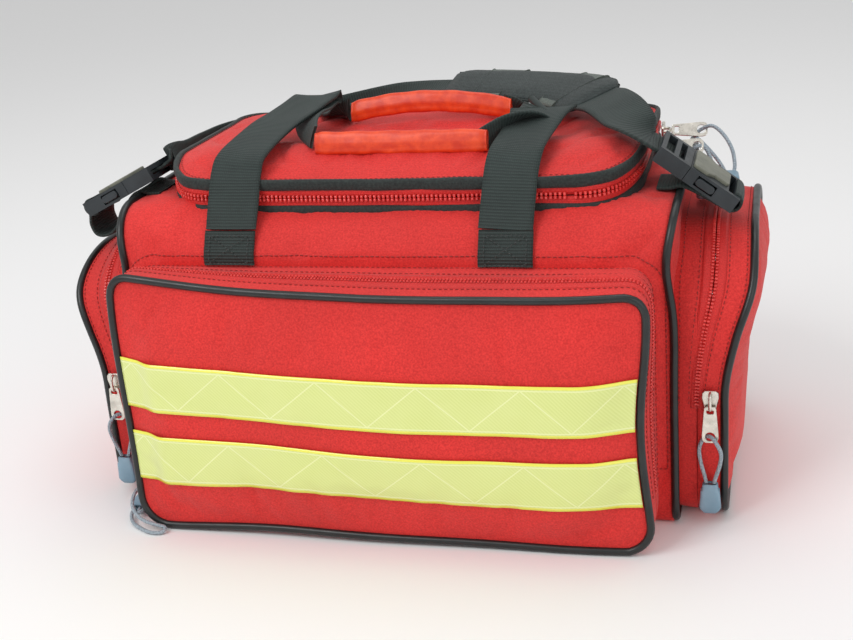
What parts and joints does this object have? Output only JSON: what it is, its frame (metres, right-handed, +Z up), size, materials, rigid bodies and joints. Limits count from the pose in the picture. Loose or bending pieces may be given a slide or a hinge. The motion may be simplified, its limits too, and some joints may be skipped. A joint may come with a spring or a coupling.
{
  "type": "emergency trauma bag",
  "caption": "Soft duffle-shaped emergency bag with zipped lid, outer zipped pockets, carry handles, reflective strips and a clip-on padded shoulder strap.",
  "frame": {"origin": "centre of the base on the ground", "axes": "+X along the bag's length to its right end, -Y to its front with the reflective strips, +Z up"},
  "size_m": [0.534, 0.373, 0.3096],
  "materials": {
    "red_fabric": "coated woven polyester",
    "base_board": "stiff board under fabric",
    "black_piping": "smooth piping",
    "black_binding": "woven edge binding",
    "red_zip": "zip tape with moulded teeth",
    "reflective": "pale yellow-green retroreflective tape",
    "black_webbing": "ribbed webbing",
    "grey_webbing": "plain tape",
    "red_grip": "smooth flexible sleeve",
    "black_plastic": "moulded",
    "nickel": "plated",
    "grey_cord": "braided cord"
  },
  "bodies": {
    "bag": {"main_shell": "red_fabric", "base_board": "base_board", "dividers": "base_board", "bag_piping": "black_piping", "opening_binding": "black_binding", "zip_tapes": "red_zip", "front_pocket": "red_fabric", "rear_pocket": "red_fabric", "left_pocket": "red_fabric", "right_pocket": "red_fabric", "front_handle_tails": "black_webbing", "rear_handle_tails": "black_webbing", "strap_anchors": "black_webbing"},
    "lid": {"lid_panel": "red_fabric", "lid_binding": "black_binding", "lid_zip": "red_zip"},
    "front_cover": {"front_panel": "red_fabric", "front_piping": "black_piping", "front_zip": "red_zip", "upper_strip": "reflective", "lower_strip": "reflective"},
    "rear_cover": {"rear_panel": "red_fabric", "rear_piping": "black_piping", "rear_zip": "red_zip"},
    "left_cover": {"left_panel": "red_fabric", "left_piping": "black_piping", "left_zip": "red_zip"},
    "right_cover": {"right_panel": "red_fabric", "right_piping": "black_piping", "right_zip": "red_zip"},
    "front_handle": {"front_handle_webbing": "black_webbing", "front_handle_grip": "red_grip"},
    "rear_handle": {"rear_handle_webbing": "black_webbing", "rear_handle_grip": "red_grip"},
    "shoulder_strap": {"strap_webbing": "black_webbing", "strap_pad": "black_webbing", "strap_pad_bands": "grey_webbing", "buckle_sockets": "black_plastic", "anchor_loops": "black_webbing"},
    "left_plug": {"left_buckle_plug": "black_plastic"},
    "right_plug": {"right_buckle_plug": "black_plastic"},
    "front_slider": {"front_slider": "nickel"},
    "front_pull": {"front_pull": "nickel", "front_cord": "grey_cord"},
    "rear_slider": {"rear_slider": "nickel"},
    "rear_pull": {"rear_pull": "nickel", "rear_cord": "grey_cord"},
    "left_slider": {"left_slider": "nickel"},
    "left_pull": {"left_pull": "nickel", "left_cord": "grey_cord"},
    "right_slider": {"right_slider": "nickel"},
    "right_pull": {"right_pull": "nickel", "right_cord": "grey_cord"},
    "lid_slider_a": {"lid_slider_a": "nickel"},
    "lid_pull_a": {"lid_pull_a": "nickel", "lid_cord_a": "grey_cord"},
    "lid_slider_b": {"lid_slider_b": "nickel"},
    "lid_pull_b": {"lid_pull_b": "nickel", "lid_cord_b": "grey_cord"}
  },
  "joints": [
    {"name": "lid_hinge", "type": "hinge", "parent": "bag", "child": "lid", "pos_m": [0, 0.1073, 0.2585], "axis": [-1, 0, 0], "range_deg": [0, 105], "deforming": ["front_handle_webbing", "front_handle_grip", "rear_handle_webbing", "rear_handle_grip", "strap_webbing", "strap_pad", "strap_pad_bands"]},
    {"name": "front_cover_hinge", "type": "hinge", "parent": "bag", "child": "front_cover", "pos_m": [0, -0.1755, 0.038], "axis": [1, 0, 0], "range_deg": [0, 95]},
    {"name": "rear_cover_hinge", "type": "hinge", "parent": "bag", "child": "rear_cover", "pos_m": [0, 0.1755, 0.038], "axis": [-1, 0, 0], "range_deg": [0, 95]},
    {"name": "left_cover_hinge", "type": "hinge", "parent": "bag", "child": "left_cover", "pos_m": [-0.2675, 0, 0.09], "axis": [0, -1, 0], "range_deg": [0, 100]},
    {"name": "right_cover_hinge", "type": "hinge", "parent": "bag", "child": "right_cover", "pos_m": [0.2675, 0, 0.09], "axis": [0, 1, 0], "range_deg": [0, 100]},
    {"name": "front_handle_hinge", "type": "hinge", "parent": "bag", "child": "front_handle", "pos_m": [0, -0.119, 0.229], "axis": [1, 0, 0], "range_deg": [0, 140]},
    {"name": "rear_handle_hinge", "type": "hinge", "parent": "lid", "child": "rear_handle", "pos_m": [0, 0.1093, 0.259], "axis": [-1, 0, 0], "range_deg": [0, 150]},
    {"name": "shoulder_strap_hinge", "type": "hinge", "parent": "bag", "child": "shoulder_strap", "pos_m": [0, -0.08, 0.25], "axis": [1, 0, 0], "range_deg": [0, 90]},
    {"name": "left_buckle_release", "type": "slide", "parent": "shoulder_strap", "child": "left_plug", "axis": [0.8988, 0, 0.4384], "range_m": [0, 0.01]},
    {"name": "right_buckle_release", "type": "slide", "parent": "shoulder_strap", "child": "right_plug", "axis": [-0.809, 0, 0.5878], "range_m": [0, 0.02]},
    {"name": "front_slider_travel", "type": "slide", "parent": "bag", "child": "front_slider", "axis": [0, 0, 1], "range_m": [0, 0.126]},
    {"name": "rear_slider_travel", "type": "slide", "parent": "bag", "child": "rear_slider", "axis": [0, 0, 1], "range_m": [0, 0.126]},
    {"name": "left_slider_travel", "type": "slide", "parent": "bag", "child": "left_slider", "axis": [0, 0, 1], "range_m": [0, 0.032]},
    {"name": "right_slider_travel", "type": "slide", "parent": "bag", "child": "right_slider", "axis": [0, 0, 1], "range_m": [0, 0.032]},
    {"name": "lid_slider_a_travel", "type": "slide", "parent": "bag", "child": "lid_slider_a", "axis": [0, 1, 0], "range_m": [-0.01, 0.02]},
    {"name": "lid_slider_b_travel", "type": "slide", "parent": "bag", "child": "lid_slider_b", "axis": [0, 1, 0], "range_m": [0, 0.02]},
    {"name": "front_pull_swing", "type": "hinge", "parent": "front_slider", "child": "front_pull", "pos_m": [-0.209, -0.1475, 0.05], "axis": [0, 1, 0], "range_deg": [0, 140]},
    {"name": "rear_pull_swing", "type": "hinge", "parent": "rear_slider", "child": "rear_pull", "pos_m": [0.209, 0.1475, 0.05], "axis": [0, -1, 0], "range_deg": [0, 140]},
    {"name": "left_pull_swing", "type": "hinge", "parent": "left_slider", "child": "left_pull", "pos_m": [-0.238, -0.121, 0.1], "axis": [-1, 0, 0], "range_deg": [0, 110]},
    {"name": "right_pull_swing", "type": "hinge", "parent": "right_slider", "child": "right_pull", "pos_m": [0.238, -0.121, 0.1], "axis": [-1, 0, 0], "range_deg": [0, 110]},
    {"name": "lid_pull_a_swing", "type": "hinge", "parent": "lid_slider_a", "child": "lid_pull_a", "pos_m": [0.195, 0.066, 0.2585], "axis": [0, 0, 1], "range_deg": [0, 36]},
    {"name": "lid_pull_b_swing", "type": "hinge", "parent": "lid_slider_b", "child": "lid_pull_b", "pos_m": [0.195, 0.008, 0.2585], "axis": [0, 0, 1], "range_deg": [0, 20]}
  ]
}
